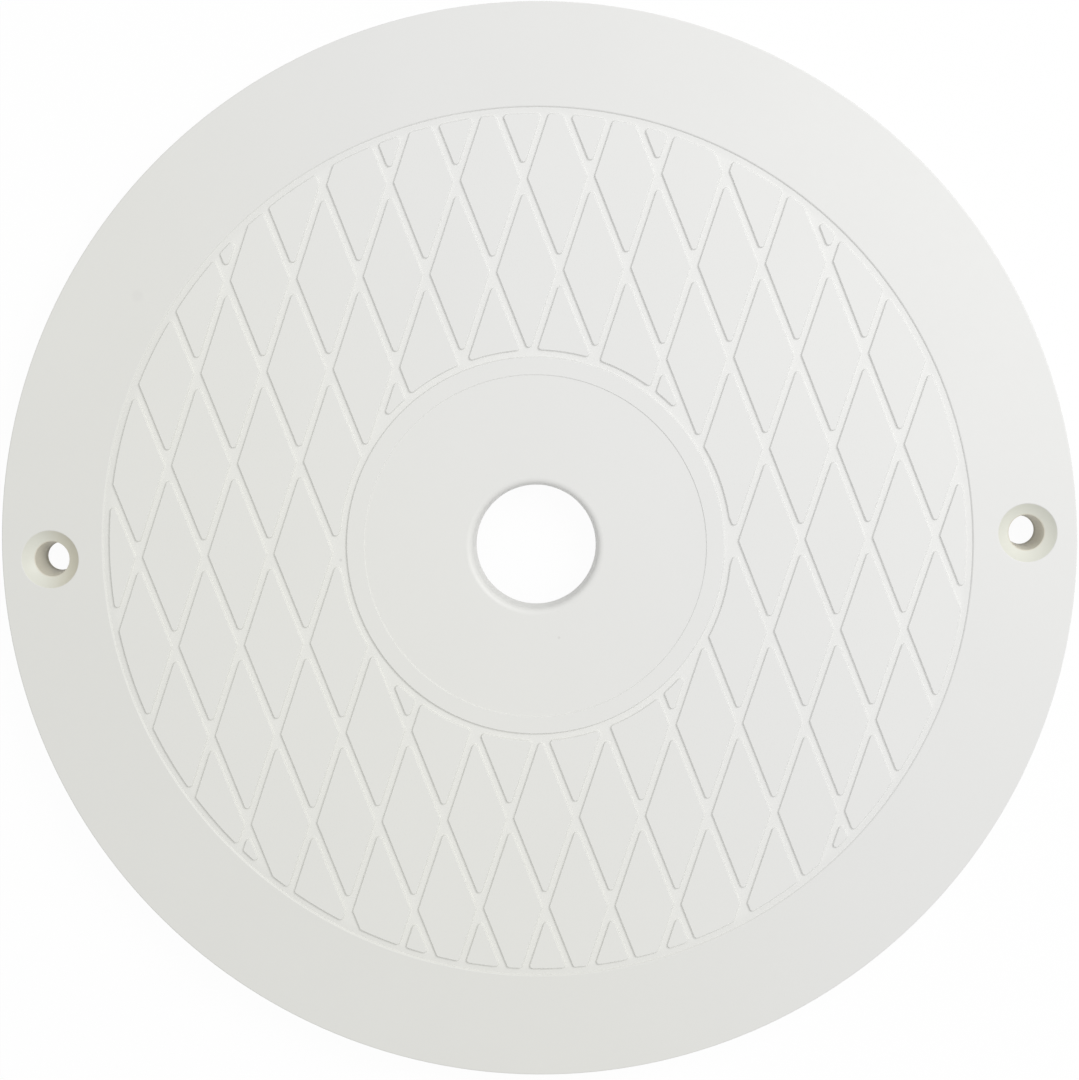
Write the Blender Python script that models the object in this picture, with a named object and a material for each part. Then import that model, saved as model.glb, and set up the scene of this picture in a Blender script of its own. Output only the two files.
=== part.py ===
"""Round deck lid of a pool skimmer: one plastic moulding with a diamond tread on its top face.

The lid lies flat, as it rests in its collar. X runs through the two screw holes, Z points up, and the
origin is the middle of the seat under the skirt. All lengths are in metres.
"""
from math import atan2, ceil, cos, pi, radians, sin, sqrt, tan

import bmesh
import bpy
import numpy as np
from mathutils import Matrix, Vector

MM = 0.001

# Whole lid
LID_RADIUS = 125.4 * MM
LID_HEIGHT = 12.7 * MM
TREAD_WALL = 2.6 * MM

# Rim round the tread, which falls gently towards its outer edge
RIM_WIDTH = 24.0 * MM
RIM_DROP = 0.2 * MM
RIM_FALL = radians(1.15)
RIM_EDGE_RADIUS = 0.3 * MM

# Tread of raised diamond pads, with a groove crossing in the middle of the lid
DIAMOND_PITCH = 15.48 * MM
DIAMOND_HALF_ANGLE = radians(20)
GROOVE_WIDTH = 1.6 * MM
GROOVE_DEPTH = 0.6 * MM
WALL_RUN = 0.2 * MM
PAD_CORNER_RADIUS = 0.6 * MM
SMALLEST_PAD = 1.0 * MM

# Plain ring and shallow dish round the finger hole
RING_OUTER_RADIUS = 44.0 * MM
RING_WIDTH = 4.1 * MM
DISH_DROP = 0.2 * MM
FINGER_HOLE_RADIUS = 14.65 * MM
FINGER_HOLE_EDGE_RADIUS = 1.5 * MM
COLLAR_WALL = 2.4 * MM
COLLAR_LENGTH = 8.0 * MM

# Lean of the holes' walls, which narrow downward so that the moulding leaves its core pins
HOLE_DRAFT = radians(4.5)

# Skirt and stiffening webs of the underside
SKIRT_WALL = 2.8 * MM
HOOP_COUNT = 3
SPOKE_COUNT = 16
WEB_WALL = 2.2 * MM
WEB_DRAFT_RUN = 0.2 * MM
WEB_CLEARANCE = 0.6 * MM
SPOKE_STEP = 0.4 * MM

# Screw holes, in the rim on both sides of the tread
SCREW_INSET = 11.4 * MM
SCREW_BORE_RADIUS = 4.1 * MM
COUNTERSINK_RADIUS = 6.85 * MM
COUNTERSINK_DEPTH = 2.2 * MM
BOSS_WALL = 4.9 * MM
BOSS_DRAFT_RUN = 0.25 * MM

# How round forms are faceted
ROUND_STEPS = 72
SCREW_STEPS = 24
EDGE_STEPS = 2
CORNER_TURN = radians(48)
ARC_CHORD = 4.0 * MM
SMOOTH_TURN = radians(12)
SHARP_EDGE = radians(30)
JOIN_DEPTH = 0.8 * MM
MERGE_DISTANCE = 0.001 * MM

# Off-white satin plastic
PLASTIC_COLOUR = (0.80, 0.80, 0.77, 1)
PLASTIC_ROUGHNESS = 0.42

# Levels and radii that follow from the sizes above
RIM_INNER_RADIUS = LID_RADIUS - RIM_WIDTH
SCREW_RADIUS = LID_RADIUS - SCREW_INSET
TREAD_FLOOR = LID_HEIGHT - GROOVE_DEPTH
DISH_FLOOR = LID_HEIGHT - DISH_DROP
UNDERSIDE = TREAD_FLOOR - TREAD_WALL
COLLAR_RADIUS = FINGER_HOLE_RADIUS + COLLAR_WALL
COLLAR_BOTTOM = DISH_FLOOR - COLLAR_LENGTH
FINGER_HOLE_FOOT = FINGER_HOLE_RADIUS - COLLAR_LENGTH * tan(HOLE_DRAFT)
SKIRT_INNER_RADIUS = LID_RADIUS - SKIRT_WALL
RING_INNER_RADIUS = RING_OUTER_RADIUS - RING_WIDTH
BOSS_RADIUS = SCREW_BORE_RADIUS + BOSS_WALL


def rim_level(radius):
    """Height of the rim's top face at a radius, a little below the pads."""
    return LID_HEIGHT - RIM_DROP - (radius - RIM_INNER_RADIUS) * tan(RIM_FALL)


def web_level(radius):
    """Height of the webs' lower edge, which climbs from the skirt to the collar."""
    share = (radius - COLLAR_RADIUS) / (SKIRT_INNER_RADIUS - COLLAR_RADIUS)
    return COLLAR_BOTTOM + (WEB_CLEARANCE - COLLAR_BOTTOM) * share


def quarter_round(centre, radius, first_angle, last_angle):
    """Points of a rounded edge in a turned profile."""
    angles = np.linspace(first_angle, last_angle, EDGE_STEPS + 1)
    return [(centre[0] + radius * cos(angle), centre[1] + radius * sin(angle)) for angle in angles]


def top_profile():
    """Top face from the finger hole's wall outward to the lid's outer wall."""
    lean = WALL_RUN / 2
    dish_lean = lean * DISH_DROP / GROOVE_DEPTH
    hole_edge = (FINGER_HOLE_RADIUS + FINGER_HOLE_EDGE_RADIUS, DISH_FLOOR - FINGER_HOLE_EDGE_RADIUS)
    outer_edge_radius = LID_RADIUS - RIM_EDGE_RADIUS
    outer_edge = (outer_edge_radius, rim_level(outer_edge_radius) - RIM_EDGE_RADIUS)
    return [
        *quarter_round(hole_edge, FINGER_HOLE_EDGE_RADIUS, pi, pi / 2),
        (RING_INNER_RADIUS - dish_lean, DISH_FLOOR),
        (RING_INNER_RADIUS + dish_lean, LID_HEIGHT),
        (RING_OUTER_RADIUS - lean, LID_HEIGHT),
        (RING_OUTER_RADIUS + lean, TREAD_FLOOR),
        (RIM_INNER_RADIUS - lean, TREAD_FLOOR),
        (RIM_INNER_RADIUS + lean, rim_level(RIM_INNER_RADIUS + lean)),
        *quarter_round(outer_edge, RIM_EDGE_RADIUS, pi / 2, 0),
    ]


def hoop_profile(radius):
    """Section of one round web, from its outer root to its inner root."""
    root = WEB_WALL / 2
    tip = root - WEB_DRAFT_RUN
    return [
        (radius + root, UNDERSIDE),
        (radius + tip, web_level(radius)),
        (radius - tip, web_level(radius)),
        (radius - root, UNDERSIDE),
    ]


def bottom_profile():
    """Underside from the skirt's seat inward to the collar's lower end."""
    spacing = (SKIRT_INNER_RADIUS - COLLAR_RADIUS) / (HOOP_COUNT + 1)
    points = [(LID_RADIUS, 0), (SKIRT_INNER_RADIUS + WEB_DRAFT_RUN, 0), (SKIRT_INNER_RADIUS, UNDERSIDE)]
    for hoop in range(HOOP_COUNT):
        points.extend(hoop_profile(SKIRT_INNER_RADIUS - spacing * (hoop + 1)))
    points.append((COLLAR_RADIUS, UNDERSIDE))
    points.append((COLLAR_RADIUS - WEB_DRAFT_RUN, COLLAR_BOTTOM))
    points.append((FINGER_HOLE_FOOT, COLLAR_BOTTOM))
    return points


def crossings(start, end, radius):
    """Points where a straight edge crosses a circle round the lid's axis, in their order along the edge."""
    along = end - start
    middle = -(start @ along) / (along @ along)
    nearest = start + middle * along
    gap = radius ** 2 - nearest @ nearest
    if gap <= 0:
        return []
    reach = sqrt(gap / (along @ along))
    return [start + share * along for share in (middle - reach, middle + reach) if 0 < share < 1]


def arc_between(start, end):
    """Points inside the short arc between two points of one circle round the lid's axis."""
    radius = np.hypot(*start)
    first = atan2(start[1], start[0])
    sweep = (atan2(end[1], end[0]) - first + pi) % (2 * pi) - pi
    angles = first + np.linspace(0, sweep, ceil(abs(sweep) * radius / ARC_CHORD) + 1)[1:-1]
    return [radius * np.array([cos(angle), sin(angle)]) for angle in angles]


def cut_by_circle(outline, radius, keep_inside):
    """What is left of a convex outline on one side of a circle round the axis, closed along the circle.

    Each stretch of the outline on that side becomes a run. Inside the circle the runs join into one
    outline. Outside it each run closes on itself, because the circle may part the outline in two.
    """
    points = []
    for start, end in zip(outline, outline[1:] + outline[:1]):
        points += [start, *crossings(start, end, radius)]
    stretches = list(zip(points, points[1:] + points[:1]))
    kept = [(np.hypot(*(start + end) / 2) < radius) == keep_inside for start, end in stretches]
    if all(kept):
        return [outline]
    runs = []
    first = next((k for k in range(len(kept)) if kept[k] and not kept[k - 1]), 0)
    for k in range(first, first + len(kept)):
        start, end = stretches[k % len(kept)]
        if not kept[k % len(kept)]:
            continue
        if not kept[(k - 1) % len(kept)]:
            runs.append([start])
        runs[-1].append(end)
    if keep_inside and runs:
        closings = [arc_between(run[-1], after[0]) for run, after in zip(runs, runs[1:] + runs[:1])]
        return [[point for run, arc in zip(runs, closings) for point in run + arc]]
    return [run + arc_between(run[-1], run[0]) for run in runs]


def grown(outline, radius):
    """The outline moved outward by a radius, with an arc of that radius round each of its corners."""
    corners = np.array(outline)
    ahead = np.roll(corners, -1, axis=0) - corners
    headings = np.arctan2(ahead[:, 1], ahead[:, 0])
    points = []
    for corner, leaving, arriving in zip(corners, headings, np.roll(headings, 1)):
        turn = (leaving - arriving + pi) % (2 * pi) - pi
        steps = ceil(turn / CORNER_TURN) if turn > SMOOTH_TURN else 0
        for share in np.linspace(0, 1, steps + 1) if steps else [0.5]:
            side = arriving + share * turn - pi / 2
            points.append(corner + radius * np.array([cos(side), sin(side)]))
    return points


def pad_cores():
    """Outlines of the tread's pads, each smaller than its pad's top all round by the corner radius.

    Two families of parallel grooves, leaning by the half angle either way from Y, leave diamonds between
    them. A plain groove along the rim and one along the ring cut the diamonds off in arcs.
    """
    inset = GROOVE_WIDTH / 2 + WALL_RUN / 2 + PAD_CORNER_RADIUS
    half_width = DIAMOND_PITCH / 2 - inset / cos(DIAMOND_HALF_ANGLE)
    half_length = half_width / tan(DIAMOND_HALF_ANGLE)
    rise = DIAMOND_PITCH / 2 / tan(DIAMOND_HALF_ANGLE)
    diamond = np.array([(half_width, 0), (0, half_length), (-half_width, 0), (0, -half_length)])
    outer_radius = RIM_INNER_RADIUS - GROOVE_WIDTH / 2 - inset
    inner_radius = RING_OUTER_RADIUS + GROOVE_WIDTH / 2 + inset
    rows = ceil(outer_radius / rise)
    columns = ceil(outer_radius / (DIAMOND_PITCH / 2))
    for row in range(-rows, rows + 1):
        for column in range(-columns, columns + 1):
            if (row + column) % 2 == 0:
                continue
            cell = list(diamond + (column * DIAMOND_PITCH / 2, row * rise))
            for inside_rim in cut_by_circle(cell, outer_radius, True):
                for core in cut_by_circle(inside_rim, inner_radius, False):
                    if np.ptp(core, axis=0).max() > SMALLEST_PAD:
                        yield core


def add_prism(mesh, low_points, high_points):
    """A closed solid between a lower and an upper outline with as many points each."""
    low = [mesh.verts.new(point) for point in low_points]
    high = [mesh.verts.new(point) for point in high_points]
    mesh.faces.new(reversed(low))
    mesh.faces.new(high)
    for k in range(len(low)):
        mesh.faces.new((low[k - 1], low[k], high[k], high[k - 1]))


def add_turned(mesh, profile, centre, steps, closed):
    """A profile of radii and heights turned once round an upright axis."""
    corners = [mesh.verts.new((centre + radius, 0, height)) for radius, height in profile]
    ends = corners[1:] + corners[:1] if closed else corners[1:]
    edges = [mesh.edges.new(pair) for pair in zip(corners, ends)]
    bmesh.ops.spin(mesh, geom=corners + edges, cent=(centre, 0, 0), axis=(0, 0, 1), angle=2 * pi, steps=steps)
    bmesh.ops.remove_doubles(mesh, verts=mesh.verts, dist=MERGE_DISTANCE)


def finished_object(name, mesh):
    """An object made from a bmesh, with outward faces and smooth shading between its edges."""
    bmesh.ops.recalc_face_normals(mesh, faces=mesh.faces)
    data = bpy.data.meshes.new(name)
    mesh.to_mesh(data)
    mesh.free()
    data.shade_smooth()
    data.set_sharp_from_angle(angle=SHARP_EDGE)
    thing = bpy.data.objects.new(name, data)
    bpy.context.collection.objects.link(thing)
    return thing


def make_body():
    """Plate, rim, ring, skirt, round webs and finger collar, turned in one piece."""
    mesh = bmesh.new()
    add_turned(mesh, top_profile() + bottom_profile(), 0, ROUND_STEPS, closed=True)
    return finished_object("lid", mesh)


def make_pads():
    """Pads of the tread, with leaning walls that reach a little into the plate."""
    mesh = bmesh.new()
    foot_level = TREAD_FLOOR - JOIN_DEPTH
    foot_growth = WALL_RUN * (LID_HEIGHT - foot_level) / GROOVE_DEPTH
    for core in pad_cores():
        top = [(x, y, LID_HEIGHT) for x, y in grown(core, PAD_CORNER_RADIUS)]
        foot = [(x, y, foot_level) for x, y in grown(core, PAD_CORNER_RADIUS + foot_growth)]
        add_prism(mesh, foot, top)
    return finished_object("tread_pads", mesh)


def make_spokes():
    """Straight webs from the finger collar to the skirt."""
    mesh = bmesh.new()
    root = WEB_WALL / 2
    tip = root - WEB_DRAFT_RUN
    inner = COLLAR_RADIUS - COLLAR_WALL / 2
    outer = SKIRT_INNER_RADIUS + SKIRT_WALL / 2
    inner_tip = web_level(inner) + SPOKE_STEP
    outer_tip = web_level(outer) + SPOKE_STEP
    high_level = UNDERSIDE + JOIN_DEPTH
    low = [(inner, -tip, inner_tip), (outer, -tip, outer_tip), (outer, tip, outer_tip), (inner, tip, inner_tip)]
    high = [(inner, -root, high_level), (outer, -root, high_level), (outer, root, high_level),
            (inner, root, high_level)]
    for spoke in range(SPOKE_COUNT):
        turn = Matrix.Rotation(2 * pi * spoke / SPOKE_COUNT, 3, "Z")
        add_prism(mesh, [turn @ Vector(point) for point in low], [turn @ Vector(point) for point in high])
    return finished_object("underside_spokes", mesh)


def make_bosses():
    """Solid bosses that carry the screws down to the seat."""
    mesh = bmesh.new()
    top = UNDERSIDE + JOIN_DEPTH
    profile = [(0, 0), (BOSS_RADIUS - BOSS_DRAFT_RUN, 0), (BOSS_RADIUS, top), (0, top)]
    for centre in (-SCREW_RADIUS, SCREW_RADIUS):
        add_turned(mesh, profile, centre, SCREW_STEPS, closed=False)
    return finished_object("screw_bosses", mesh)


def make_screw_cutters():
    """Narrowing bore and countersink of each screw hole, running past both faces."""
    mesh = bmesh.new()
    mouth = rim_level(SCREW_RADIUS)
    bore_top = mouth - COUNTERSINK_DEPTH
    slope = (COUNTERSINK_RADIUS - SCREW_BORE_RADIUS) / COUNTERSINK_DEPTH
    clear = COUNTERSINK_DEPTH
    profile = [
        (0, -clear),
        (SCREW_BORE_RADIUS - (bore_top + clear) * tan(HOLE_DRAFT), -clear),
        (SCREW_BORE_RADIUS, bore_top),
        (COUNTERSINK_RADIUS + clear * slope, mouth + clear),
        (0, mouth + clear),
    ]
    for centre in (-SCREW_RADIUS, SCREW_RADIUS):
        add_turned(mesh, profile, centre, SCREW_STEPS, closed=False)
    return finished_object("screw_cutters", mesh)


def combine(body, tool, operation):
    """Joins a tool to the body or cuts it out, and hides the tool."""
    tool.hide_render = True
    tool.display_type = "WIRE"
    step = body.modifiers.new(tool.name, "BOOLEAN")
    step.operation = operation
    step.solver = "EXACT"
    step.object = tool


def lid_plastic():
    """The moulding's one material."""
    material = bpy.data.materials.new("lid_plastic")
    material.use_nodes = True
    shader = material.node_tree.nodes["Principled BSDF"]
    shader.inputs["Base Color"].default_value = PLASTIC_COLOUR
    shader.inputs["Roughness"].default_value = PLASTIC_ROUGHNESS
    shader.inputs["Metallic"].default_value = 0
    return material


def main():
    for thing in list(bpy.data.objects):
        bpy.data.objects.remove(thing, do_unlink=True)
    lid = make_body()
    lid.data.materials.append(lid_plastic())
    combine(lid, make_pads(), "UNION")
    combine(lid, make_spokes(), "UNION")
    combine(lid, make_bosses(), "UNION")
    combine(lid, make_screw_cutters(), "DIFFERENCE")


main()
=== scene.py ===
"""Looks of a round pool skimmer lid, laid out as a Blender add-on and run as a script.

The lid is one off-white moulding. This file makes its fine surface: turned walls with soft edges, tread
pads with leaning walls, screw holes, and the ribbed underside. It also makes the plastic, the floor, the
light and the camera. Lengths are in metres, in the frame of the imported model: X through the two screw
holes, Z up, and the seat at height zero.
"""

from math import atan2, ceil, cos, pi, radians, sin, sqrt, tan

import bmesh
import bpy
import numpy as np
from bpy.props import FloatProperty, FloatVectorProperty, IntProperty, PointerProperty
from mathutils import Matrix, Vector
from mathutils.geometry import delaunay_2d_cdt


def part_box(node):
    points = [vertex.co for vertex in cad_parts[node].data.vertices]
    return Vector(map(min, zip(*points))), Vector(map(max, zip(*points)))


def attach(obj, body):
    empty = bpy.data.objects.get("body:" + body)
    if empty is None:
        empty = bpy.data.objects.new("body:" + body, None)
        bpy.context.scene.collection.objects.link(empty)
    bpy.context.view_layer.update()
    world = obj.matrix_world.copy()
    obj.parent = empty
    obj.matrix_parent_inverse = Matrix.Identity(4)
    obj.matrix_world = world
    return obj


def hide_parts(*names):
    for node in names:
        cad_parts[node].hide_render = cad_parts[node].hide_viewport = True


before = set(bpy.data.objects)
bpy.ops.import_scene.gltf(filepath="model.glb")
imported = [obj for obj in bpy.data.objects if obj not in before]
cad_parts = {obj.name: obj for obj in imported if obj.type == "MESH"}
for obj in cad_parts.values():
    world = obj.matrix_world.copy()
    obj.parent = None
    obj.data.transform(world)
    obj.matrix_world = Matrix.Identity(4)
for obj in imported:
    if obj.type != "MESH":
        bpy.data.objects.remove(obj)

bl_info = {
    "name": "Skimmer lid looks",
    "version": (1, 0, 0),
    "blender": (4, 5, 0),
    "location": "3D View > Sidebar > Skimmer lid",
    "description": "Makes the fine surface, plastic, light and camera of a round skimmer lid",
    "category": "Object",
}

CAD_NODE = "lid"
CAD_BODY = "root"
MM = 0.001
CAD_LOW, CAD_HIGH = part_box(CAD_NODE)


def length(name, description, millimetres):
    """A length that a user may change, given in millimetres and kept in metres."""
    return FloatProperty(name=name, description=description, default=millimetres * MM, min=0, unit="LENGTH",
                         precision=5)


def angle(name, description, degrees):
    """An angle that a user may change, given in degrees and kept in radians."""
    return FloatProperty(name=name, description=description, default=radians(degrees), subtype="ANGLE")


def colour(name, description, value):
    """A linear colour that a user may change."""
    return FloatVectorProperty(name=name, description=description, default=value, size=3, min=0, max=1,
                               subtype="COLOR")


def factor(name, description, value, highest=1):
    """A plain number that a user may change."""
    return FloatProperty(name=name, description=description, default=value, min=0, max=highest,
                         subtype="FACTOR" if highest == 1 else "NONE")


def count(name, description, value):
    """A whole number that a user may change."""
    return IntProperty(name=name, description=description, default=value, min=1)


class LidSizes(bpy.types.PropertyGroup):
    """Sizes of the lid's top face, edge and underside."""

    rim_width: length("Rim width", "From the tread's outer groove to the lid's edge", 24.0)
    rim_drop: length("Rim drop", "How far the rim's inner edge lies below the tread's top", 0.2)
    rim_fall: angle("Rim fall", "How steeply the rim falls towards the lid's edge", 1.15)
    rim_lip: length("Rim lip radius", "Rounding of the rim's inner edge, at the tread's outer groove", 0.3)
    rim_edge: length("Rim edge radius", "Rounding of the lid's upper outer edge", 0.3)
    seat_edge: length("Seat edge radius", "Rounding of the lid's lower outer edge", 0.35)
    ring_radius: length("Ring radius", "Outer radius of the plain ring inside the tread", 44.0)
    ring_width: length("Ring width", "Width of the plain ring", 4.1)
    dish_drop: length("Dish drop", "How far the dish round the finger hole lies below the tread's top", 0.2)
    dish_edge: length("Dish edge radius", "Rounding of the small step between the dish and the ring", 0.04)
    hole_radius: length("Finger hole radius", "Radius of the finger hole's wall at the dish", 14.65)
    hole_edge: length("Finger hole edge radius", "Rounding of the finger hole's upper edge", 1.5)
    hole_draft: angle("Hole draft", "Lean of the holes' walls, which narrow downward", 4.5)
    collar_wall: length("Collar wall", "Wall of the collar under the finger hole, at its top", 2.4)
    collar_length: length("Collar length", "Length of the finger hole's wall, from the dish down", 8.0)
    skirt_wall: length("Skirt wall", "Thickness of the outer skirt", 2.8)
    tread_wall: length("Tread wall", "Thickness of the plate under the tread's grooves", 2.6)


class TreadSizes(bpy.types.PropertyGroup):
    """Sizes of the raised diamond pads and of the grooves between them."""

    pitch: length("Diamond pitch", "Width of one diamond and its groove", 15.48)
    half_angle: angle("Half angle", "Lean of the grooves from the diamonds' long diagonal", 20)
    groove_width: length("Groove width", "Width of a groove at half its depth", 1.6)
    groove_depth: length("Groove depth", "Depth of the grooves", 0.6)
    wall_run: length("Wall run", "How far a groove's wall leans over its depth", 0.2)
    corner: length("Corner radius", "Rounding of a pad's corners, seen from above", 0.6)
    top_edge: length("Top edge radius", "Rounding where a wall meets the top face", 0.1)
    foot_edge: length("Foot radius", "Rounding where a wall meets the groove's floor", 0.1)
    smallest: length("Smallest pad", "Cut-off pads smaller than this are left out", 1.0)


class UndersideSizes(bpy.types.PropertyGroup):
    """Sizes of the webs, pockets and screw bosses of the underside."""

    hoops: count("Round webs", "Round webs between the collar and the skirt", 3)
    spokes: count("Straight webs", "Straight webs from the collar to the skirt", 16)
    web_wall: length("Web wall", "Thickness of a web at its root", 2.2)
    draft_run: length("Draft run", "How far a web's side leans over its depth", 0.2)
    clearance: length("Web clearance", "How far the webs stay above the seat, at the skirt", 0.6)
    pocket_corner: length("Pocket corner radius", "Rounding of a pocket's corners, seen from below", 1.6)
    pocket_root: length("Pocket root radius", "Rounding where a web meets the plate", 0.7)
    web_edge: length("Web edge radius", "Rounding of the webs' lower edges", 0.25)
    ledge: length("Ledge", "Narrow step between the seat and the pockets", 0.25)


class ScrewSizes(bpy.types.PropertyGroup):
    """Sizes of the two countersunk screw holes."""

    inset: length("Inset", "From the lid's edge to a screw hole's axis", 11.4)
    bore: length("Bore radius", "Radius of the bore under the countersink", 4.1)
    mouth: length("Countersink radius", "Radius of the countersink at the rim", 6.85)
    depth: length("Countersink depth", "Depth of the countersink", 2.2)
    sag: length("Sag", "How far the countersink's hollow section sags below a straight cone", 0.3)
    hollow: length("Hollow radius", "Radius of the countersink's hollow section", 8.0)
    lip: length("Lip radius", "Rounding of the edges at the countersink's mouth and foot", 0.15)
    boss_wall: length("Boss wall", "Wall of a boss round the bore's top", 4.9)


class PlasticLook(bpy.types.PropertyGroup):
    """Colours and finish of the moulded plastic."""

    base: colour("Plastic", "Colour of the plastic on the tread and the dish", (0.811, 0.811, 0.796))
    rim: colour("Rim", "Colour of the rim, which is a little duller", (0.797, 0.797, 0.782))
    # Painted light: the warm tint on one side stands in for warmer light falling from that side
    warm_tint: colour("Painted_warmth", "Tint of the plastic on its yellower side", (1.0, 1.0, 0.972))
    untinted_side: angle("Whiter side", "Direction of the whiter side, from X towards Y", 30)
    # Painted light: the grooves' lighter colour makes up for the shade that falls in them
    groove: colour("Groove", "Colour of the brightened grooves between the pads", (0.836, 0.836, 0.82))
    # Painted shade and warm bounce light: the countersinks' darker, warmer colour
    sink_shade: colour("Countersinks", "Colour of the plastic inside the countersinks", (0.76, 0.765, 0.69))
    soil: colour("Soil", "Colour of the more soiled side of one countersink", (0.68, 0.655, 0.54))
    # Painted shade: the bores' darker, warmer walls, darkest at their lower ends
    bore_shade: colour("Bore_walls", "Colour of the screw holes' shaded walls", (0.70, 0.67, 0.57))
    deep_bore_shade: colour("Bore_feet", "Colour of the dirt at the screw holes' lower ends", (0.42, 0.39, 0.28))
    speck: colour("Specks", "Colour of the few small specks on the top face", (0.72, 0.715, 0.69))
    roughness: factor("Roughness", "Roughness of the satin surface", 0.46)
    mottle: factor("Mottle", "How much the colour varies in broad patches", 0.02)
    grain: length("Grain depth", "Height of the fine moulded grain", 0.004)


class StageLook(bpy.types.PropertyGroup):
    """Floor, light and camera."""

    sky: factor("Sky strength", "Strength of the even light from all round", 0.64, 10)
    floor: colour("Floor", "Colour of the floor's paint", (0.9, 0.9, 0.9))
    glow: factor("Floor glow", "How much of the floor the camera sees as plain white", 0.96)
    key_power: factor("Key power", "Power of the large soft lamp, in watts", 4.42, 10000)
    key_distance: length("Key distance", "From the lid's middle to the lamp", 994)
    key_size: length("Key size", "Side of the square lamp", 492)
    key_height: angle("Key height", "Height of the lamp over the floor, as an angle", 52.5)
    key_turn: angle("Key turn", "Direction of the lamp, from X towards Y", 34)
    camera_distance: length("Camera distance", "From the camera to the tread's level", 544.2)
    camera_lens: FloatProperty(name="Lens", description="Focal length on a frame 36 mm high",
                               default=77.95, unit="CAMERA")
    camera_tilt: angle("Camera tilt", "Turn of the view about its horizontal axis", 3.930)
    camera_yaw: angle("Camera yaw", "Turn of the view about its vertical axis", -2.148)
    camera_roll: angle("Camera roll", "Turn of the picture", 1.712)
    camera_right: FloatProperty(name="Middle to the right", default=-1.091 * MM, unit="LENGTH", precision=5,
                                description="How far the lid's middle lies to the right of the view's axis")
    camera_up: FloatProperty(name="Middle upward", default=-1.501 * MM, unit="LENGTH", precision=5,
                             description="How far the lid's middle lies above the view's axis")


# Noise of the plastic, from broad patches to the grain, and how much the blotches change its finish
MOTTLE_NOISE = {"Scale": 45.0, "Detail": 3.0}
BLOTCH_NOISE = {"Scale": 420.0, "Detail": 2.0}
GRAIN_NOISE = {"Scale": 2600.0, "Detail": 2.0}
BLOTCH_SHARE = 0.5
BLOTCH_MIDDLE = 0.5
ROUGHNESS_SPREAD = 0.12

# Where one colour of the plastic fades into the next: lengths, heights, and shares of a radius
MASK_FADE = 1.0 * MM
SEAT_FADE = 2.0 * MM
BORE_FADE = 0.4 * MM
# Heights over which the bores' painted shade darkens towards their lower ends
DEEP_SHADE_HEIGHTS = (0.6 * MM, 3.0 * MM)
# Shares of the radius over which the painted warm tint fades out towards the whiter side
WARM_TINT_SHARES = (-1 / 2, 1 / 3)
SOIL_SHARES = (-1 / 2, 1)
SPECK_CORE = 1 / 3

# Faint specks on the top face: place in X and Y and radius, in millimetres, and strength
SPECKS = ((-90.7, 60.9, 1.9, 0.35), (5.0, -21.5, 0.45, 1.0), (-45.5, -2.0, 0.5, 1.0))

# Floor's reach from the lid's axis and its gap to the seat, and the camera's frame in millimetres
FLOOR_REACH = 3.0
FLOOR_GAP = 0.1 * MM
SENSOR_HEIGHT = 36

# Points round the lid and round a screw hole, and rings of loose points on the rim
ROUND_STEPS = 240
SCREW_STEPS = 72
RIM_RINGS = 5

# Largest turn from point to point: round an outline's corner, and over the section of an edge
FAN_TURN = radians(23)
EDGE_TURN = radians(16)
PAD_EDGE_TURN = radians(24)
HIDDEN_EDGE_TURN = radians(30)

# Turn up to which an outline's corner counts as smooth, and the longest chords of its arcs
SMOOTH_TURN = radians(8)
ARC_CHORD = 1.5 * MM
POCKET_CHORD = 4.0 * MM

# Distance of a guard point from the end of its run, and the shortest run that gets them
GUARD = 0.08 * MM
LONG_RUN = 3 * GUARD

# Settings of the fill between rings: its tolerance in millimetres, and the mode that keeps the inside
FILL_TOLERANCE = 1e-5
FILL_INSIDE = 1


class LidForm:
    """Radii and levels of the lid that follow from its named sizes."""

    def __init__(self, lid, tread, under, screw):
        self.radius = CAD_HIGH.x
        self.top = CAD_HIGH.z
        self.rim_radius = self.radius - lid.rim_width
        self.rim_slope = tan(lid.rim_fall)
        self.rim_top = self.top - lid.rim_drop
        self.tread_end = self.rim_radius - tread.groove_width / 2
        # Outward and upward ends of the grooves' painted light
        self.tint_end = self.tread_end - tread.groove_width
        self.floor = self.top - tread.groove_depth
        self.tint_top = self.floor + tread.groove_depth / 3
        self.dish = self.top - lid.dish_drop
        self.underside = self.floor - lid.tread_wall
        self.ring_inner = lid.ring_radius - lid.ring_width
        self.collar_radius = lid.hole_radius + lid.collar_wall
        self.collar_bottom = self.dish - lid.collar_length
        self.draft = tan(lid.hole_draft)
        self.hole_foot = lid.hole_radius - lid.collar_length * self.draft
        self.skirt_inner = self.radius - lid.skirt_wall
        self.screw_radius = self.radius - screw.inset
        self.boss_radius = screw.bore + screw.boss_wall
        self.bore_top = self.rim_level(self.screw_radius) - screw.depth
        self.bore_foot = screw.bore - self.bore_top * self.draft
        self.web_clearance = under.clearance

    def rim_level(self, radius):
        """Height of the rim's top face, a shallow cone: it falls by the slope times the way outward."""
        return self.rim_top - (radius - self.rim_radius) * self.rim_slope

    def web_level(self, radius):
        """Height of the webs' lower edges, a shallow cone that climbs evenly from skirt to collar."""
        share = (radius - self.collar_radius) / (self.skirt_inner - self.collar_radius)
        return self.collar_bottom + (self.web_clearance - self.collar_bottom) * np.maximum(share, 0)


def directions(angles):
    """Unit directions: the cosine and the sine of each angle, from X towards Y."""
    return np.stack([np.cos(angles), np.sin(angles)], axis=1)


def circle_path(steps, centre=(0, 0)):
    """A circle's path: one centre for all its points, and a direction for each, at even angles."""
    return np.tile(np.array(centre, float), (steps, 1)), directions(2 * pi * np.arange(steps) / steps)


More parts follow.
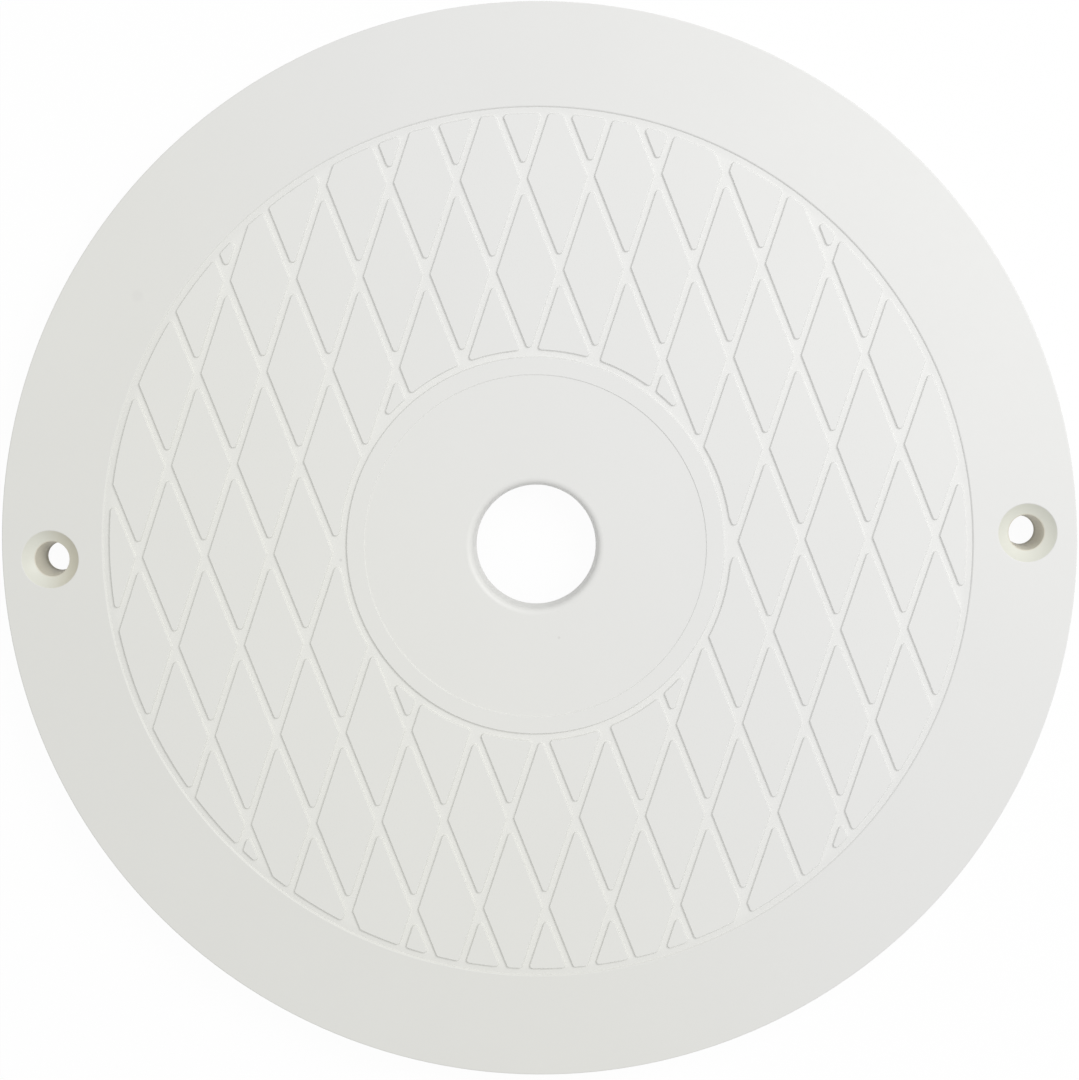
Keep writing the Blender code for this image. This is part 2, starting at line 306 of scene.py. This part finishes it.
def corner_path(outline):
    """A path round a closed outline: at each corner the outward direction swings from edge to edge.

    A point of the path moved out by a distance d lies on the outline's parallel curve at distance d, so
    every corner becomes an arc of radius d. Shallow turns keep one point, along the turn's middle.
    """
    corners = np.array(outline)
    ahead = np.roll(corners, -1, axis=0) - corners
    leaving = np.arctan2(ahead[:, 1], ahead[:, 0])
    arriving = np.roll(leaving, 1)
    turn = (leaving - arriving + pi) % (2 * pi) - pi
    steps = np.where(turn > SMOOTH_TURN, np.ceil(turn / FAN_TURN), 0).astype(int)
    index = np.repeat(np.arange(len(corners)), steps + 1)
    place = np.arange(len(index)) - np.repeat(np.cumsum(steps + 1) - steps - 1, steps + 1)
    share = np.where(steps[index] > 0, place / np.maximum(steps[index], 1), 0.5)
    side = arriving[index] + share * turn[index] - pi / 2
    return corners[index], directions(side)


def rounded(corners, radii, turn=EDGE_TURN):
    """A profile of straight runs through the corners, with an arc of its own radius at each inner corner.

    Each arc touches both of its runs: it starts radius / tan(half the corner's angle) before the corner
    and is centred on the corner's bisector. A run that is long enough gets a guard point near each end,
    which keeps its shading flat.
    """
    points = [np.array(corner, float) for corner in corners]
    pieces = [[points[0]]]
    for before, corner, after, radius in zip(points, points[1:], points[2:], radii):
        back = (before - corner) / np.hypot(*(before - corner))
        ahead = (after - corner) / np.hypot(*(after - corner))
        half = np.arccos(np.clip(back @ ahead, -1, 1)) / 2
        middle = (back + ahead) / np.hypot(*(back + ahead))
        centre = corner + middle * radius / sin(half)
        first = corner + back * radius / tan(half) - centre
        last = corner + ahead * radius / tan(half) - centre
        start = atan2(first[1], first[0])
        sweep = (atan2(last[1], last[0]) - start + pi) % (2 * pi) - pi
        angles = start + np.linspace(0, sweep, max(2, ceil(abs(sweep) / turn)) + 1)
        pieces.append(list(centre + radius * directions(angles)))
    pieces.append([points[-1]])
    profile = list(pieces[0])
    for piece in pieces[1:]:
        run = piece[0] - profile[-1]
        span = np.hypot(*run)
        if span > LONG_RUN:
            profile += [profile[-1] + run / span * GUARD, piece[0] - run / span * GUARD]
        profile += piece
    return np.array(profile)


def carried(path, profile, level=None):
    """A profile carried along a path: point (k, n) is core n plus side n times the profile's offset k.

    Heights are the profile's own, or are added to the level at each point's distance from the lid's axis.
    """
    cores, sides = path
    flat = cores[None] + profile[:, 0, None, None] * sides[None]
    height = np.broadcast_to(profile[:, 1, None], flat.shape[:2])
    if level is not None:
        height = height + level(np.hypot(flat[..., 0], flat[..., 1]))
    return np.concatenate([flat, height[..., None]], axis=2)


class Shell:
    """Gathers grids of points and the faces between them until they close into one mesh."""

    def __init__(self):
        self.points = np.zeros((0, 3))
        self.faces = []

    def band(self, grid):
        """Adds a grid of closed rings with a strip of faces between each ring and the next one."""
        rows, columns = grid.shape[:2]
        index = len(self.points) + np.arange(rows * columns).reshape(rows, columns)
        self.points = np.concatenate([self.points, grid.reshape(-1, 3)])
        after = np.roll(index, -1, axis=1)
        quads = np.stack([index[:-1], after[:-1], after[1:], index[1:]], axis=2)
        self.faces += quads.reshape(-1, 4).tolist()
        return index[0], index[-1]

    def cap(self, ring):
        """Closes a flat ring with one face."""
        self.faces.append(ring.tolist())

    def fill(self, outer, holes, loose=None):
        """Fills the space between an outer ring and the rings inside it with triangles on their points.

        Loose points are used too. A triangle is kept where it lies in the outer ring and in no other one.
        """
        rings = [outer, *holes]
        if loose is not None:
            start = len(self.points)
            self.points = np.concatenate([self.points, loose])
            rings.append(np.arange(start, start + len(loose)))
        index = np.concatenate(rings)
        starts = np.cumsum([0] + [len(ring) for ring in rings])
        plan = [Vector(point) for point in (self.points[index, :2] / MM).tolist()]
        borders = [list(range(starts[k], starts[k + 1])) for k in range(1 + len(holes))]
        filled = delaunay_2d_cdt(plan, [], borders, FILL_INSIDE, FILL_TOLERANCE)
        _, _, faces, made_from, _, inside = filled
        if not all(made_from):
            raise RuntimeError("two rings cross, so the space between them can't be filled")
        source = index[[origin[0] for origin in made_from]]
        kept = [face for face, regions in zip(faces, inside) if list(regions) == [0]]
        self.faces += source[np.array(kept)].tolist()

    def mesh(self, name):
        """The finished mesh, checked to be closed, with its faces turned outward."""
        data = bpy.data.meshes.new(name)
        data.from_pydata(self.points, [], self.faces)
        work = bmesh.new()
        work.from_mesh(data)
        open_edges = sum(1 for edge in work.edges if len(edge.link_faces) != 2)
        if open_edges:
            raise RuntimeError(f"{name} has {open_edges} open edges")
        bmesh.ops.recalc_face_normals(work, faces=work.faces)
        work.to_mesh(data)
        work.free()
        data.shade_smooth()
        return data


def crossings(start, end, centre, radius):
    """Points where a straight edge crosses a circle, in their order along the edge.

    They lie half a chord before and after the point of the edge's line that is nearest to the centre.
    """
    along = end - start
    middle = -((start - centre) @ along) / (along @ along)
    nearest = start + middle * along - centre
    gap = radius ** 2 - nearest @ nearest
    if gap <= 0:
        return []
    reach = sqrt(gap / (along @ along))
    return [start + share * along for share in (middle - reach, middle + reach) if 0 < share < 1]


def arc_between(start, end, centre, chord, way):
    """Points inside the arc from one point of a circle to another, at even angles.

    The arc runs anticlockwise for way 1 and clockwise for way -1.
    """
    radius = np.hypot(*(start - centre))
    first = atan2(*(start - centre)[::-1])
    sweep = way * ((way * (atan2(*(end - centre)[::-1]) - first)) % (2 * pi))
    angles = first + np.linspace(0, sweep, ceil(abs(sweep) * radius / chord) + 1)[1:-1]
    return list(centre + radius * directions(angles))


def cut_by_circle(outline, radius, keep_inside, centre=(0, 0), chord=ARC_CHORD):
    """What is left of an outline on one side of a circle, closed along the circle.

    Each stretch of the outline on that side becomes a run. Inside the circle the runs join into one
    outline. Outside it each run closes on itself, because the circle may part the outline in two.
    """
    centre = np.array(centre, float)
    points = []
    for start, end in zip(outline, outline[1:] + outline[:1]):
        points += [start, *crossings(start, end, centre, radius)]
    stretches = list(zip(points, points[1:] + points[:1]))
    kept = [(np.hypot(*((start + end) / 2 - centre)) < radius) == keep_inside for start, end in stretches]
    if all(kept):
        return [outline]
    runs = []
    first = next((k for k in range(len(kept)) if kept[k] and not kept[k - 1]), 0)
    for k in range(first, first + len(kept)):
        start, end = stretches[k % len(kept)]
        if not kept[k % len(kept)]:
            continue
        if not kept[(k - 1) % len(kept)]:
            runs.append([start])
        runs[-1].append(end)
    if keep_inside and runs:
        joints = zip(runs, runs[1:] + runs[:1])
        return [sum((run + arc_between(run[-1], after[0], centre, chord, 1) for run, after in joints), [])]
    return [run + arc_between(run[-1], run[0], centre, chord, -1) for run in runs]


def pad_paths(form, lid, tread):
    """Paths of the tread's pads, each drawn in from its pad's top edge by the corner radius.

    Two families of parallel grooves, leaning by the half angle either way from Y, leave diamonds between
    them. A plain groove along the rim and one along the ring cut the diamonds off in arcs.
    """
    inset = tread.groove_width / 2 + tread.wall_run / 2 + tread.corner
    half_width = tread.pitch / 2 - inset / cos(tread.half_angle)
    half_length = half_width / tan(tread.half_angle)
    rise = tread.pitch / 2 / tan(tread.half_angle)
    diamond = np.array([(half_width, 0), (0, half_length), (-half_width, 0), (0, -half_length)])
    outer = form.rim_radius - tread.groove_width / 2 - inset
    inner = lid.ring_radius + tread.groove_width / 2 + inset
    rows = ceil(outer / rise)
    columns = ceil(outer / (tread.pitch / 2))
    for row in range(-rows, rows + 1):
        for column in range(-columns, columns + 1):
            if (row + column) % 2 == 0:
                continue
            cell = list(diamond + (column * tread.pitch / 2, row * rise))
            for inside_rim in cut_by_circle(cell, outer, True):
                for core in cut_by_circle(inside_rim, inner, False):
                    if np.ptp(core, axis=0).max() > tread.smallest:
                        yield corner_path(core)


def boss_centres(form):
    """Places of the two screw holes."""
    return [np.array((side * form.screw_radius, 0.0)) for side in (-1, 1)]


def web_region_path(form, under):
    """Path of the sunk part of the underside: inside the skirt and outside both bosses."""
    corner = under.pocket_corner
    _, sides = circle_path(ROUND_STEPS)
    outline = list((form.skirt_inner + under.draft_run - corner) * sides)
    for centre in boss_centres(form):
        outline, = cut_by_circle(outline, form.boss_radius + corner, False, centre)
    return corner_path(outline)


def pocket_paths(form, under):
    """Paths of the pockets between the webs, each drawn in from its root by the corner radius."""
    corner = under.pocket_corner
    half_web = under.web_wall / 2
    spacing = (form.skirt_inner - form.collar_radius) / (under.hoops + 1)
    half_turn = pi / under.spokes
    brink = corner + under.draft_run + under.web_edge + under.ledge
    far = form.radius / cos(half_turn)
    apex = (half_web + corner) / sin(half_turn)
    flank = (far - apex) * tan(half_turn)
    wedge = np.array([(apex, 0), (far, -flank), (far, flank)])
    for bay in range(under.hoops + 1):
        low = form.collar_radius + bay * spacing + (half_web if bay else 0) + corner
        high = form.collar_radius + (bay + 1) * spacing
        high -= half_web + corner if bay < under.hoops else brink
        for spoke in range(under.spokes):
            turn = (2 * spoke + 1) * half_turn
            spin = np.array([(cos(turn), sin(turn)), (-sin(turn), cos(turn))])
            outline, = cut_by_circle(list(wedge @ spin), high, True, chord=POCKET_CHORD)
            outline, = cut_by_circle(outline, low, False, chord=POCKET_CHORD)
            for centre in boss_centres(form):
                outline, = cut_by_circle(outline, form.boss_radius + brink, False, centre)
            yield corner_path(outline)


def hole_to_tread_profile(form, lid, tread):
    """Section from the middle of the collar's lower end up the finger hole and over the dish and the ring.

    It ends on the floor of the groove round the ring.
    """
    lean = tread.wall_run / 2
    dish_lean = lean * lid.dish_drop / tread.groove_depth
    corners = [
        ((form.hole_foot + form.collar_radius) / 2, form.collar_bottom),
        (form.hole_foot, form.collar_bottom),
        (lid.hole_radius, form.dish),
        (form.ring_inner - dish_lean, form.dish),
        (form.ring_inner + dish_lean, form.top),
        (lid.ring_radius - lean, form.top),
        (lid.ring_radius + lean, form.floor),
        (lid.ring_radius + lean + tread.foot_edge, form.floor),
    ]
    edges = [lid.seat_edge, lid.hole_edge, lid.dish_edge, lid.dish_edge, tread.top_edge, tread.foot_edge]
    return rounded(corners, edges)


def tread_to_rim_profile(form, lid, tread):
    """Section of the tread's outer wall, from the groove's floor up to the rim."""
    lean = tread.wall_run / 2
    corners = [
        (form.rim_radius - lean - tread.foot_edge, form.floor),
        (form.rim_radius - lean, form.floor),
        (form.rim_radius + lean, form.rim_level(form.rim_radius + lean)),
        (form.rim_radius + lean + lid.rim_lip, form.rim_level(form.rim_radius + lean + lid.rim_lip)),
    ]
    return rounded(corners, [tread.foot_edge, lid.rim_lip])


def rim_to_seat_profile(form, lid):
    """Section of the lid's outer edge, from the rim's top face down the skirt to the seat."""
    start = form.radius - 2 * lid.rim_edge
    end = form.radius - lid.skirt_wall / 3
    corners = [
        (start, form.rim_level(start)),
        (form.radius, form.rim_level(form.radius)),
        (form.radius, 0),
        (end, 0),
    ]
    return rounded(corners, [lid.rim_edge, lid.seat_edge])


def add_pads(shell, form, lid, tread):
    """Adds the tread's pads, each a leaning wall carried round its path, and returns their feet's rings."""
    start = tread.corner / 3
    foot = tread.corner + tread.wall_run
    end = foot + tread.foot_edge
    corners = [(start, form.top), (tread.corner, form.top), (foot, form.floor), (end, form.floor)]
    profile = rounded(corners, [tread.top_edge, tread.foot_edge], PAD_EDGE_TURN)
    feet = []
    for path in pad_paths(form, lid, tread):
        crown, foot_ring = shell.band(carried(path, profile))
        shell.cap(crown)
        feet.append(foot_ring)
    return feet


def add_screw_hole(shell, form, lid, screw, centre):
    """Adds one countersunk hole and returns its rings on the rim and on the seat.

    Its section, turned about the hole's axis, falls from the rim's cone over the hollow countersink into
    the leaning bore, and its last part turns outward on the flat seat.
    """
    start = screw.mouth + 2 * screw.lip
    end = form.bore_foot + 4 * lid.seat_edge
    mouth_corners = [
        (start, 0),
        (screw.mouth, 0),
        ((screw.mouth + screw.bore) / 2, -screw.depth / 2 - screw.sag),
        (screw.bore, -screw.depth),
        (screw.bore - screw.depth * form.draft, -2 * screw.depth),
    ]
    bore_middle = ((screw.bore + form.bore_foot) / 2, form.bore_top / 2)
    foot_corners = [bore_middle, (form.bore_foot, 0), (end, 0)]
    path = circle_path(SCREW_STEPS, centre)
    mouth = carried(path, rounded(mouth_corners, [screw.lip, screw.hollow, screw.lip]), form.rim_level)
    foot = carried(path, rounded(foot_corners, [lid.seat_edge]))
    return shell.band(np.concatenate([mouth, foot]))


def add_underside(shell, form, under, seat_ring, bore_rings, collar_ring):
    """Adds the seat, the step to the webs, the webs' lower edges on their cone, and the flat pockets.

    The step's wall leans inward on its way up, and a small shelf at its head is part of the webs' cone.
    Rows at the ends of a profile that only give its arcs their direction are left out.
    """
    corner = under.pocket_corner
    run = under.draft_run
    edge = under.web_edge
    lead = 3 * edge
    low_lean, high_lean, shelf = run / 9, run / 4, run / 2
    region = web_region_path(form, under)
    brow_corners = [(corner + lead, 0), (corner, 0), (corner - low_lean, lead)]
    brow = rounded(brow_corners, [edge], HIDDEN_EDGE_TURN)
    seat_side = carried(region, brow[:-1])
    web_side = carried(region, np.array([(corner - high_lean, 0), (corner - shelf, 0)]), form.web_level)
    first, last = shell.band(np.concatenate([seat_side, web_side]))
    shell.fill(seat_ring, [first, *bore_rings])
    tip_corners = [(corner + run + edge, 0), (corner + run, 0), (corner + run, lead)]
    tip = rounded(tip_corners, [edge], HIDDEN_EDGE_TURN)
    root = under.pocket_root
    cap_edge = corner / 5
    root_corners = [(corner, -3 * root), (corner, 0), (cap_edge, 0)]
    floor = rounded(root_corners, [root], HIDDEN_EDGE_TURN)[2:] + (0, form.underside)
    tips = []
    for path in pocket_paths(form, under):
        grid = np.concatenate([carried(path, tip[1:-1], form.web_level), carried(path, floor)])
        tip_ring, floor_ring = shell.band(grid)
        shell.cap(floor_ring)
        tips.append(tip_ring)
    shell.fill(last, [collar_ring, *tips])


def rim_points(form, low, high):
    """Loose points on the rim's cone, in even rings between two radii, clear of the screw holes."""
    angles = 2 * pi * np.arange(ROUND_STEPS // 2) / (ROUND_STEPS // 2)
    radii = np.linspace(low, high, RIM_RINGS + 2)[1:-1]
    radius, turn = [grid.ravel() for grid in np.meshgrid(radii, angles)]
    points = np.stack([radius * np.cos(turn), radius * np.sin(turn), form.rim_level(radius)], axis=1)
    apart = np.hypot(np.abs(points[:, 0]) - form.screw_radius, points[:, 1])
    return points[apart > form.boss_radius]


def moulding_mesh(form, lid, tread, under, screw):
    """The whole lid as one closed mesh: turned strips, tread pads, screw holes and the underside's webs."""
    shell = Shell()
    around = circle_path(ROUND_STEPS)
    collar_ring, ring_foot = shell.band(carried(around, hole_to_tread_profile(form, lid, tread)))
    wall_foot, rim_start = shell.band(carried(around, tread_to_rim_profile(form, lid, tread)))
    rim_end, seat_ring = shell.band(carried(around, rim_to_seat_profile(form, lid)))
    shell.fill(wall_foot, [ring_foot, *add_pads(shell, form, lid, tread)])
    holes = [add_screw_hole(shell, form, lid, screw, centre) for centre in boss_centres(form)]
    rim_ends = [np.hypot(*shell.points[ring[0], :2]) for ring in (rim_start, rim_end)]
    loose = rim_points(form, *rim_ends)
    shell.fill(rim_end, [rim_start, *[mouth for mouth, _ in holes]], loose)
    add_underside(shell, form, under, seat_ring, [foot for _, foot in holes], collar_ring)
    return shell.mesh("lid_moulding")


class Value:
    """A number in a shader: sums and products of it become Math nodes."""

    def __init__(self, shader, socket):
        self.shader, self.socket = shader, socket

    def maths(self, operation, *others):
        sockets = {k + 1: other for k, other in enumerate(others)}
        return self.shader.node("ShaderNodeMath", {"operation": operation}, {0: self, **sockets})

    def __add__(self, other):
        return self.maths("ADD", other)

    def __radd__(self, other):
        return self.maths("ADD", other)

    def __sub__(self, other):
        return self.maths("SUBTRACT", other)

    def __rsub__(self, other):
        return self.shader.node("ShaderNodeMath", {"operation": "SUBTRACT"}, {0: other, 1: self})

    def __mul__(self, other):
        return self.maths("MULTIPLY", other)

    def __rmul__(self, other):
        return self.maths("MULTIPLY", other)

    def absolute(self):
        return self.maths("ABSOLUTE")

    def hypotenuse(self, other):
        """Length of the diagonal over this value and another one."""
        return (self * self + other * other).maths("SQRT")

    def between(self, low, high):
        """A smooth step from 0 at low to 1 at high."""
        return self.shader.node("ShaderNodeMapRange", {"interpolation_type": "SMOOTHSTEP", "clamp": True},
                                {"Value": self, "From Min": low, "From Max": high})


class Shader:
    """The node tree of a material or a world, with one method that adds any node."""

    def __init__(self, owner):
        self.owner = owner
        owner.use_nodes = True
        self.tree = owner.node_tree
        self.tree.nodes.clear()

    def node(self, kind, settings=None, inputs=None, output=0):
        """Adds a node with its settings and inputs, and returns one of its outputs."""
        node = self.tree.nodes.new(kind)
        for name, value in (settings or {}).items():
            setattr(node, name, value)
        for name, value in (inputs or {}).items():
            if isinstance(value, Value):
                self.tree.links.new(value.socket, node.inputs[name])
            else:
                node.inputs[name].default_value = value
        return Value(self, node.outputs[output])

    def mix(self, share, first, second):
        """A colour between two colours."""
        inputs = {0: share, 6: first, 7: second}
        return self.node("ShaderNodeMix", {"data_type": "RGBA"}, inputs, output=2)

    def finish(self, surface, kind="ShaderNodeOutputMaterial"):
        """Links the surface to the output node and returns the material or the world."""
        output = self.tree.nodes.new(kind)
        self.tree.links.new(surface.socket, output.inputs["Surface"])
        return self.owner


def plastic_material(look, form, tread, screw):
    """Satin off-white plastic with faint mottling, a fine grain, and painted shade inside the screw holes.

    The plain colour changes at the rim; painted light makes the grooves lighter and one side yellower.
    Over it lie the countersinks' painted shade, the soil on one countersink's side, the bores' painted shade
    and the specks, each under a mask of its place and height.
    """
    shader = Shader(bpy.data.materials.new("lid_plastic_looks"))
    place = shader.node("ShaderNodeTexCoord", output="Object")
    x, y, z = [shader.node("ShaderNodeSeparateXYZ", None, {0: place}, output=axis) for axis in "XYZ"]
    patches, blotches, grain = [shader.node("ShaderNodeTexNoise", None, {"Vector": place, **noise})
                                for noise in (MOTTLE_NOISE, BLOTCH_NOISE, GRAIN_NOISE)]
    tone = 1 - (patches + blotches * BLOTCH_SHARE) * look.mottle
    away = x.hypotenuse(y)
    on_top = z.between(form.underside, form.floor)
    past_ring = away.between(form.ring_inner, form.ring_inner + MASK_FADE)
    in_tread = past_ring * (1 - away.between(form.tint_end, form.tread_end))
    # Painted light: mask of the lighter groove colour, on the grooves' floors and low walls in the tread
    groove_light_mask = in_tread * on_top * (1 - z.between(form.floor, form.tint_top))
    on_rim = away.between(form.rim_radius, form.rim_radius + tread.wall_run)
    shade = shader.mix(on_rim, (*look.base, 1), (*look.rim, 1))
    shade = shader.mix(groove_light_mask, shade, (*look.groove, 1))
    # Painted light: a warm tint over one side of the lid, standing in for warmer light from that side
    along = x * cos(look.untinted_side) + y * sin(look.untinted_side)
    untinted_share = along.between(*[share * form.radius for share in WARM_TINT_SHARES])
    warm_cast = shader.mix(untinted_share, (*look.warm_tint, 1), (1, 1, 1, 1))
    shade = shader.node("ShaderNodeVectorMath", {"operation": "MULTIPLY"}, {0: shade, 1: warm_cast})
    shade = shader.node("ShaderNodeVectorMath", {"operation": "SCALE"}, {0: shade, "Scale": tone})
    apart = (x.absolute() - form.screw_radius).hypotenuse(y)
    # Painted shade and warm bounce light in the countersinks; one countersink's inner side is also soiled
    in_sink = (1 - apart.between(screw.mouth - screw.lip, screw.mouth)) * z.between(0, SEAT_FADE)
    # Painted shade in the bores: darker, warmer walls, darkest towards their lower ends
    in_bore = (1 - apart.between(screw.bore, screw.bore + BORE_FADE)) * z.between(0, BORE_FADE)
    low_down = 1 - z.between(*DEEP_SHADE_HEIGHTS)
    on_left = 1 - x.between(-MASK_FADE, MASK_FADE)
    soiled = (x + form.screw_radius).between(*[share * screw.mouth for share in SOIL_SHARES]) * on_left
    shade = shader.mix(in_sink, shade, shader.mix(soiled, (*look.sink_shade, 1), (*look.soil, 1)))
    shade = shader.mix(in_bore, shade, shader.mix(low_down, (*look.bore_shade, 1), (*look.deep_bore_shade, 1)))
    for speck_x, speck_y, size, strength in SPECKS:
        reach = (x - speck_x * MM).hypotenuse(y - speck_y * MM)
        spot = 1 - reach.between(size * MM * SPECK_CORE, size * MM)
        shade = shader.mix(spot * on_top * strength, shade, (*look.speck, 1))
    roughness = look.roughness + (blotches - BLOTCH_MIDDLE) * ROUGHNESS_SPREAD
    bump = shader.node("ShaderNodeBump", None, {"Strength": 1.0, "Distance": look.grain, "Height": grain})
    surface = shader.node("ShaderNodeBsdfPrincipled", None,
                          {"Base Color": shade, "Roughness": roughness, "Normal": bump, "Metallic": 0.0})
    return shader.finish(surface)


def floor_material(look):
    """White floor that the camera sees nearly as bright as paper, while it still takes the lid's shadow."""
    shader = Shader(bpy.data.materials.new("floor_white"))
    rays = [shader.node("ShaderNodeLightPath", output=ray)
            for ray in ("Is Camera Ray", "Is Glossy Ray", "Is Transmission Ray")]
    seen = (rays[0] + rays[1] + rays[2]).maths("MINIMUM", 1.0)
    glow = shader.node("ShaderNodeEmission", None, {"Color": (1, 1, 1, 1), "Strength": 1.0})
    paint = shader.node("ShaderNodeBsdfDiffuse", None, {"Color": (*look.floor, 1)})
    return shader.finish(shader.node("ShaderNodeMixShader", None, {0: seen * look.glow, 1: paint, 2: glow}))


def make_world(strength):
    """Even light from all round, and a white background where a ray meets nothing."""
    shader = Shader(bpy.data.worlds.new("soft_sky"))
    seen = shader.node("ShaderNodeLightPath", output="Is Camera Ray")
    light = shader.node("ShaderNodeBackground", None, {"Color": (1, 1, 1, 1), "Strength": strength})
    white = shader.node("ShaderNodeBackground", None, {"Color": (1, 1, 1, 1), "Strength": 1.0})
    mixed = shader.node("ShaderNodeMixShader", None, {0: seen, 1: light, 2: white})
    bpy.context.scene.world = shader.finish(mixed, "ShaderNodeOutputWorld")


def make_floor(look):
    """A wide flat floor just under the seat."""
    corners = FLOOR_REACH * np.array([(-1, -1, 0), (1, -1, 0), (1, 1, 0), (-1, 1, 0)])
    corners[:, 2] = CAD_LOW.z - FLOOR_GAP
    data = bpy.data.meshes.new("floor")
    data.from_pydata(corners, [], [(0, 1, 2, 3)])
    floor = bpy.data.objects.new("floor", data)
    bpy.context.scene.collection.objects.link(floor)
    data.materials.append(floor_material(look))


def make_key(look):
    """One large soft lamp to the upper right of the picture."""
    data = bpy.data.lights.new("key", "AREA")
    data.energy = look.key_power
    data.size = look.key_size
    lamp = bpy.data.objects.new("key", data)
    bpy.context.scene.collection.objects.link(lamp)
    across = cos(look.key_height)
    towards = Vector((across * cos(look.key_turn), across * sin(look.key_turn), sin(look.key_height)))
    lamp.location = towards * look.key_distance
    lamp.rotation_euler = towards.to_track_quat("Z", "Y").to_euler()


def make_camera(look):
    """The camera, almost straight above the lid, with the distance and the tilt of the photograph's view."""
    data = bpy.data.cameras.new("camera")
    data.sensor_fit = "VERTICAL"
    data.sensor_height = SENSOR_HEIGHT
    data.lens = look.camera_lens
    camera = bpy.data.objects.new("camera", data)
    bpy.context.scene.collection.objects.link(camera)
    tilt = Matrix.Rotation(look.camera_tilt, 3, "X")
    yaw = Matrix.Rotation(look.camera_yaw, 3, "Y")
    roll = Matrix.Rotation(look.camera_roll, 3, "Z")
    turn = (tilt @ yaw @ roll).transposed()
    middle = Vector((look.camera_right, look.camera_up, -look.camera_distance))
    camera.matrix_world = Matrix.Translation(turn @ -middle + Vector((0, 0, CAD_HIGH.z))) @ turn.to_4x4()
    bpy.context.scene.camera = camera


class SKIMMER_LID_OT_moulding(bpy.types.Operator):
    """Make the lid's fine surface and its plastic"""

    bl_idname = "skimmer_lid.moulding"
    bl_label = "Lid moulding"

    def execute(self, context):
        scene = context.scene
        sizes = (scene.lid_sizes, scene.tread_sizes, scene.underside_sizes, scene.screw_sizes)
        form = LidForm(*sizes)
        moulding = bpy.data.objects.new("lid_moulding", moulding_mesh(form, *sizes))
        scene.collection.objects.link(moulding)
        plastic = plastic_material(scene.plastic_look, form, scene.tread_sizes, scene.screw_sizes)
        moulding.data.materials.append(plastic)
        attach(moulding, CAD_BODY)
        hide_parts(CAD_NODE)
        return {"FINISHED"}


class SKIMMER_LID_OT_stage(bpy.types.Operator):
    """Make the floor, the light and the camera"""

    bl_idname = "skimmer_lid.stage"
    bl_label = "Floor, light and camera"

    def execute(self, context):
        look = context.scene.stage_look
        context.scene.view_settings.view_transform = "Standard"
        make_world(look.sky)
        make_floor(look)
        make_key(look)
        make_camera(look)
        return {"FINISHED"}


class SKIMMER_LID_PT_panel(bpy.types.Panel):
    """Sidebar panel that lists the lid's pieces"""

    bl_idname = "SKIMMER_LID_PT_panel"
    bl_label = "Skimmer lid"
    bl_space_type = "VIEW_3D"
    bl_region_type = "UI"
    bl_category = "Skimmer lid"

    def draw(self, context):
        for operator in (SKIMMER_LID_OT_moulding, SKIMMER_LID_OT_stage):
            self.layout.operator(operator.bl_idname)
        for group in SETTINGS:
            settings = getattr(context.scene, group)
            box = self.layout.box()
            for name in settings.bl_rna.properties.keys():
                if name not in ("rna_type", "name"):
                    box.prop(settings, name)


SETTINGS = {
    "lid_sizes": LidSizes,
    "tread_sizes": TreadSizes,
    "underside_sizes": UndersideSizes,
    "screw_sizes": ScrewSizes,
    "plastic_look": PlasticLook,
    "stage_look": StageLook,
}
CLASSES = (*SETTINGS.values(), SKIMMER_LID_OT_moulding, SKIMMER_LID_OT_stage, SKIMMER_LID_PT_panel)


def register():
    for kind in CLASSES:
        bpy.utils.register_class(kind)
    for name, kind in SETTINGS.items():
        setattr(bpy.types.Scene, name, PointerProperty(type=kind))


def unregister():
    for name in SETTINGS:
        delattr(bpy.types.Scene, name)
    for kind in reversed(CLASSES):
        bpy.utils.unregister_class(kind)


def main():
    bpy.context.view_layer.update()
    register()
    bpy.ops.skimmer_lid.moulding()
    bpy.ops.skimmer_lid.stage()


if __name__ == "__main__":
    main()
